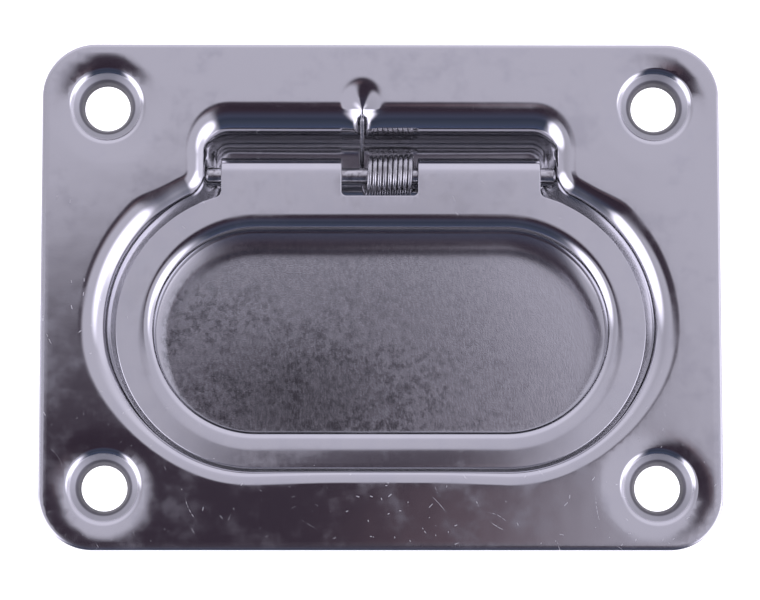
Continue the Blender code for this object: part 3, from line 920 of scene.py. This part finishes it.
class Metal(Graph):
    """One steel material. Heights and places are in millimetres, in the piece's own frame."""

    def __init__(self, name):
        self.look = bpy.data.materials.new(name)
        super().__init__(self.look)
        self.shader = self.tree.nodes["Principled BSDF"]
        self.shader.inputs["Metallic"].default_value = 1.0
        self.place = self.vector("SCALE", self.node("ShaderNodeTexCoord").outputs["Object"])
        self.place.node.inputs["Scale"].default_value = 1 / MM
        self.x, self.y, self.z = self.split(self.place)

    def noise(self, per_mm, detail=2.0, stretch=None, shift=0.0, rough=0.5):
        """Noise from about 0 to 1, with an optional scale of its own along each axis."""
        place = self.vector("MULTIPLY_ADD", self.place, stretch or (1, 1, 1), (shift, shift, shift))
        made = self.node("ShaderNodeTexNoise", Vector=place, Scale=per_mm, Detail=detail,
                         Roughness=rough)
        return made.outputs[0]

    def layer(self, name):
        return self.node("ShaderNodeAttribute", {"attribute_name": name}).outputs["Fac"]

    def cells(self, size, shift):
        """Random cells in plan: place from the cell's seed point, distance, and three numbers."""
        plan = self.vector("ADD", self.join(self.x, self.y, 0.0), (shift, shift * 0.7, 0.0))
        made = self.node("ShaderNodeTexVoronoi", Vector=plan, Scale=1 / size)
        local = self.vector("SUBTRACT", plan, made.outputs["Position"])
        return local, self.vector("LENGTH", local), self.split(made.outputs["Color"])

    def strokes(self, size, shift, angle, spread, length, width, chance):
        """Short, slightly bent scratches, at most one in a cell."""
        local, _, (r, g, b) = self.cells(size, shift)
        x, y, _ = self.split(local)
        turn = self.scaled(r, 2 * spread, angle - spread)
        cosine, sine = self.math("COSINE", turn), self.math("SINE", turn)
        along = self.add(self.times(x, cosine), self.times(y, sine))
        across = self.math("SUBTRACT", self.times(y, cosine), self.times(x, sine))
        sag = self.times(along, along, self.scaled(b, 0.3, -0.1))
        across = self.math("ABSOLUTE", self.add(across, sag))
        half = self.scaled(g, length * 0.4, length * 0.1)
        ends = self.between(self.math("DIVIDE", self.math("ABSOLUTE", along), half), 1.0, 0.4)
        kept = self.math("LESS_THAN", self.math("FRACT", self.times(b, 7.0)), chance)
        return self.times(self.between(across, width, width * 0.2), ends, kept)

    def specks(self, size, shift, radius, chance):
        """Round pits, at most one in a cell."""
        _, distance, (r, _, _) = self.cells(size, shift)
        kept = self.math("LESS_THAN", r, chance)
        return self.times(self.between(distance, radius, radius * 0.3), kept)

    def finish(self, color, roughness, height):
        self.feed(self.shader.inputs["Base Color"], color)
        self.feed(self.shader.inputs["Roughness"], roughness)
        bump = self.node("ShaderNodeBump", Strength=1.0, Distance=MM, Height=height)
        self.feed(self.shader.inputs["Normal"], bump.outputs[0])
        return self.look


def plate_look():
    """Bright pressed sheet: scratched flange, scored walls, and the dull floor the punch left, with
    painted shade and painted light on the floor and painted shade in the screw holes.
    """
    metal = Metal("plate_steel")
    x, y, z = metal.x, metal.y, metal.z
    flange = metal.between(z, 0.2, 0.7)
    floor = metal.between(z, PAN_FLOOR + 0.12, PAN_FLOOR + 0.01)
    wall = metal.math("SUBTRACT", 1.0, metal.most(metal.between(z, -1.2, 0.2), floor))
    from_hole = metal.vector("LENGTH", metal.join(*(
        metal.math("SUBTRACT", metal.math("ABSOLUTE", place), hole)
        for place, hole in zip((x, y), HOLE_PLACE)), 0.0))
    # Painted shade: the screw holes' cones and throats are coloured a darker grey.
    dimple, throat = metal.between(from_hole, 3.9, 3.65), metal.between(from_hole, 3.25, 3.05)
    wear, back = metal.layer("wear"), metal.layer("back")

    lower = metal.between(metal.add(y, metal.times(x, 0.35)), 12.0, -14.0, 0.12, 1.0)
    worn = metal.between(metal.noise(0.09, 1.0, shift=3.0), 0.38, 0.62)
    broken = metal.between(metal.noise(2.6, 0.0, shift=8.0), 0.36, 0.56)
    marks = metal.most(
        metal.strokes(size=5.2, shift=2.3, angle=-0.95, spread=0.5, length=4.6, width=0.045,
                      chance=0.42),
        metal.strokes(size=1.5, shift=11.7, angle=0.9, spread=1.4, length=1.0, width=0.065,
                      chance=0.30),
        metal.specks(size=1.3, shift=7.9, radius=0.075, chance=0.22))
    marks = metal.times(marks, broken, lower, metal.scaled(worn, 0.7, 0.3), flange)

    smear = metal.between(metal.noise(0.22, 3.0, shift=15.0, rough=0.62), 0.46, 0.72)
    streak = metal.noise(1.0, 2.0, stretch=(5.5, 1.9, 0.25), rough=0.6)
    # Dark mottle on the floor, partly painted shade: it is laid on more heavily toward the lower
    # left.
    blotch_and_shade = metal.times(
        metal.between(metal.noise(1.15, 4.0, shift=21.0, rough=0.72), 0.42, 0.66),
        metal.between(metal.add(y, metal.times(x, 0.45)), 6.0, -12.0, 0.25, 1.0),
        metal.between(metal.noise(0.16, 1.0, shift=70.0), 0.34, 0.6, 0.35, 1.0))
    # Painted shade: a dark patch on the floor's lower left.
    painted_shade_patch = metal.vector("LENGTH", metal.join(metal.scaled(x, *SHADE_PATCH_X),
                                              metal.scaled(y, *SHADE_PATCH_Y), 0.0))
    painted_shade_patch = metal.times(metal.between(painted_shade_patch, 1.4, 0.1), metal.scaled(blotch_and_shade, 0.25, 0.58))
    # Painted light: the floor's colour grows lighter toward its right.
    bright = metal.between(x, 2.0, 22.0, 0.0, 0.8)
    streaked = metal.between(streak, 0.35, 0.7, 0.0, 0.28)

    roughness = metal.add(
        metal.scaled(smear, metal.times(flange, 0.07), 0.085),
        metal.times(floor, metal.scaled(blotch_and_shade, -0.03, 0.045)),
        metal.times(floor, streak, 0.05),
        metal.times(wall, metal.scaled(streak, 0.05, 0.07)),
        metal.times(marks, 0.34), metal.times(dimple, 0.52),
        metal.times(wear, 0.10), metal.times(back, 0.16))

    color = metal.blend(smear, STEEL, PLATE_SMEARED)
    color = metal.blend(floor, color, metal.blend(blotch_and_shade, FLOOR_GRAY, FLOOR_BLOTCH_AND_SHADE))
    for share, over in ((metal.times(floor, bright), FLOOR_PAINTED_LIGHT),
                        (metal.times(floor, painted_shade_patch), FLOOR_PAINTED_SHADE),
                        (metal.times(floor, streaked), FLOOR_STREAK),
                        (marks, SCRATCHED), (dimple, CONE_SHADE_GRAY), (throat, THROAT_SHADE_GRAY)):
        color = metal.blend(share, color, over)

    height = metal.add(
        metal.times(metal.noise(7.5, 1.0, shift=4.0), metal.scaled(floor, 0.0026, 0.0004)),
        metal.times(metal.noise(0.30, 1.0, shift=2.0), 0.005),
        metal.times(metal.noise(0.055, 0.0, shift=9.0), 0.05),
        metal.times(streak, metal.scaled(floor, 0.003, metal.times(wall, 0.0003))))
    return metal.finish(color, roughness, height)


def handle_look():
    """Smoother bright sheet, faintly rubbed, with a few marks and a slight bow along the ring."""
    metal = Metal("handle_steel")
    wear, back = metal.layer("wear"), metal.layer("back")
    marks = metal.most(
        metal.strokes(size=2.6, shift=5.1, angle=-0.6, spread=0.7, length=1.6, width=0.045,
                      chance=0.22),
        metal.specks(size=1.9, shift=3.7, radius=0.07, chance=0.25))
    marks = metal.times(marks, metal.between(metal.noise(0.25, 1.0, shift=6.0), 0.42, 0.6))
    smear = metal.between(metal.noise(0.3, 4.0, shift=25.0, rough=0.62), 0.48, 0.75)
    cloud = metal.between(metal.noise(0.4, 3.0, shift=44.0), 0.3, 0.7)
    brushed = metal.noise(1.0, 2.0, stretch=(6.0, 0.9, 1.0))
    roughness = metal.add(
        metal.scaled(smear, 0.07, 0.10), metal.times(brushed, 0.03), metal.times(marks, 0.22),
        metal.times(wear, 0.08), metal.times(back, 0.18))
    color = metal.blend(cloud, STEEL, HANDLE_SMEARED)
    color = metal.blend(metal.times(marks, 0.6), color, SCRATCHED)
    height = metal.add(
        metal.times(metal.noise(7.5, 1.0), 0.0004),
        metal.times(metal.noise(0.3, 0.0, shift=5.0), 0.005),
        metal.times(metal.x, metal.scaled(metal.x, -0.0010, 0.026)),
        metal.times(metal.y, -0.008))
    return metal.finish(color, roughness, height)


def pin_look():
    """Turned wire with fine rings and dark handling marks."""
    metal = Metal("pin_steel")
    rings = metal.noise(1.0, 3.0, stretch=(9.0, 0.4, 0.4), rough=0.65)
    dull = metal.between(metal.noise(1.6, 3.0, shift=3.0), 0.45, 0.7)
    height = metal.add(metal.times(rings, 0.006), metal.times(metal.noise(6.0), 0.002))
    return metal.finish(metal.blend(dull, PIN_BRIGHT, PIN_DULL),
                        metal.scaled(rings, 0.16, 0.14), height)


def spring_look():
    """Drawn spring wire, with faint lengthwise streaks and dull patches."""
    metal = Metal("spring_steel")
    streaks = metal.noise(1.0, 2.0, stretch=(14.0, 1.2, 1.2), shift=2.0)
    dull = metal.between(metal.noise(1.1, 2.0, shift=13.0), 0.4, 0.65)
    height = metal.add(metal.times(streaks, 0.003), metal.times(metal.noise(8.0), 0.0012))
    return metal.finish(metal.blend(dull, WIRE_BRIGHT, WIRE_DULL),
                        metal.add(metal.scaled(streaks, 0.12, 0.17), metal.times(dull, 0.08)),
                        height)


# ---- stage ----------------------------------------------------------------------------------

# Camera: turns about X, Y and Z in degrees, and the plate's centre as the camera sees it
CAMERA_TURN = (-7.802, 0.656, -0.052)
CAMERA_LOOK = (0.1226, 0.5478, -423.68)
CAMERA_LENS = 180.0
CAMERA_SENSOR = 36.0

# Soft boxes of the tent: azimuth, angle from the zenith, half width, half height, softness, light
BOXES = (
    (-20, 58, 24, 24, 0.45, 2.4),
    (-160, 66, 20, 26, 0.45, 2.4),
    (-148, 46, 14, 15, 0.5, 2.0),
    (88, 62, 50, 22, 0.8, 0.95),
    (8, 74, 18, 16, 0.7, 1.05),
)
TINT = (1.0, 0.972, 1.15)
TENT = ((0.0, 0.52), (0.45, 0.70), (1.0, 0.68))
BEHIND = 20.0

# The tent's dark opening: colours by share of the way down, its outline, and a warm spot in it
OPENING = (
    (0.00, (0.040, 0.028, 0.044)), (0.05, (0.050, 0.035, 0.055)), (0.18, (0.075, 0.082, 0.135)),
    (0.26, (0.050, 0.060, 0.100)), (0.35, (0.068, 0.081, 0.125)), (0.47, (0.080, 0.100, 0.180)),
    (0.62, (0.110, 0.130, 0.240)))
OPENING_X = -0.05
OPENING_HALF = 0.12
OPENING_FLARE = 0.55
OPENING_SIDE = (1.35, 0.65)
OPENING_SLANT = 0.2
OPENING_TOP = (0.186, 0.126)
SPOT = (0.155, 0.103, 0.128)
SPOT_PLACE = (0.045, 0.06)
SPOT_EDGE = (0.055, 0.015)

STAGE_HALF = 2.0
STAGE_GRAY = 0.9
STAGE_GLOW = 0.75


def make_camera():
    """Long lens nearly straight above the plate, a little on the side away from the hinge."""
    x, y, z = (Matrix.Rotation(math.radians(a), 3, axis) for a, axis in zip(CAMERA_TURN, "XYZ"))
    back = (z @ y @ x).transposed()
    look = Vector(CAMERA_LOOK) * MM
    camera = bpy.data.cameras.new("camera")
    camera.lens = CAMERA_LENS
    camera.sensor_width = CAMERA_SENSOR
    camera.clip_start = 0.01
    made = bpy.data.objects.new("camera", camera)
    made.matrix_world = Matrix.Translation(back @ -look + Vector((0, 0, FRONT))) @ back.to_4x4()
    bpy.context.scene.collection.objects.link(made)
    bpy.context.scene.camera = made


def gray(level):
    """Light of the tent's own tint."""
    return tuple(level * part for part in TINT)


def make_world():
    """Pale tent with soft boxes left and right, open and dark where the camera stands."""
    world = bpy.data.worlds.new("tent")
    graph = Graph(world)
    direction = graph.node("ShaderNodeTexCoord").outputs["Generated"]
    x, y, z = graph.split(direction)

    def toward(axis):
        return graph.vector("DOT_PRODUCT", direction, axis)

    light = graph.ramp(graph.between(x, -1.0, 1.0), [(at, gray(level)) for at, level in TENT])
    for *angles, soft, level in BOXES:
        a, t, half_width, half_height = map(math.radians, angles)
        centre = (math.sin(t) * math.cos(a), math.sin(t) * math.sin(a), math.cos(t))
        across = (-math.sin(a), math.cos(a), 0.0)
        up = (math.cos(t) * math.cos(a), math.cos(t) * math.sin(a), -math.sin(t))
        u = graph.math("DIVIDE", toward(across), math.sin(half_width))
        v = graph.math("DIVIDE", toward(up), math.sin(half_height))
        w = graph.times(graph.math("MINIMUM", toward(centre), 0.0), BEHIND)
        reach = graph.vector("LENGTH", graph.join(u, v, w))
        share = graph.between(reach, 1.0 + soft, 1.0 - soft * 0.5)
        light = graph.blend(share, light, gray(level))

    polar = graph.math("ARCCOSINE", z)
    dark = graph.ramp(graph.times(polar, 1 / math.pi), OPENING)
    spot = graph.vector("LENGTH", graph.join(graph.add(x, -SPOT_PLACE[0]),
                                             graph.add(y, -SPOT_PLACE[1]), 0.0))
    dark = graph.blend(graph.between(spot, *SPOT_EDGE), dark, SPOT)
    flare = graph.times(graph.most(graph.times(y, -1.0), 0.0), OPENING_FLARE)
    side = graph.math("DIVIDE", graph.math("ABSOLUTE", graph.add(x, -OPENING_X)),
                      graph.add(OPENING_HALF, flare))
    top = graph.add(y, graph.times(graph.math("ABSOLUTE", x), OPENING_SLANT))
    shade = graph.times(graph.between(side, *OPENING_SIDE), graph.between(top, *OPENING_TOP))
    graph.feed(graph.tree.nodes["Background"].inputs["Color"], graph.blend(shade, light, dark))
    bpy.context.scene.world = world


def make_floor():
    """Plain pale floor that glows a little, so no shadow falls on it."""
    data = bpy.data.meshes.new("floor")
    corners = ((-1, -1), (1, -1), (1, 1), (-1, 1))
    data.from_pydata([(x * STAGE_HALF, y * STAGE_HALF, STAGE_Z) for x, y in corners], [],
                     [(0, 1, 2, 3)])
    made = bpy.data.objects.new("floor", data)
    look = bpy.data.materials.new("floor")
    look.use_nodes = True
    shader = look.node_tree.nodes["Principled BSDF"]
    shader.inputs["Base Color"].default_value = (STAGE_GRAY, STAGE_GRAY, STAGE_GRAY, 1)
    shader.inputs["Roughness"].default_value = 0.9
    shader.inputs["Emission Color"].default_value = (1, 1, 1, 1)
    shader.inputs["Emission Strength"].default_value = STAGE_GLOW
    data.materials.append(look)
    bpy.context.scene.collection.objects.link(made)


make_camera()
make_world()
make_floor()
make_plate(plate_look())
make_handle(handle_look())
make_pin(pin_look())
make_spring(spring_look())
bpy.context.scene.view_settings.view_transform = "Standard"
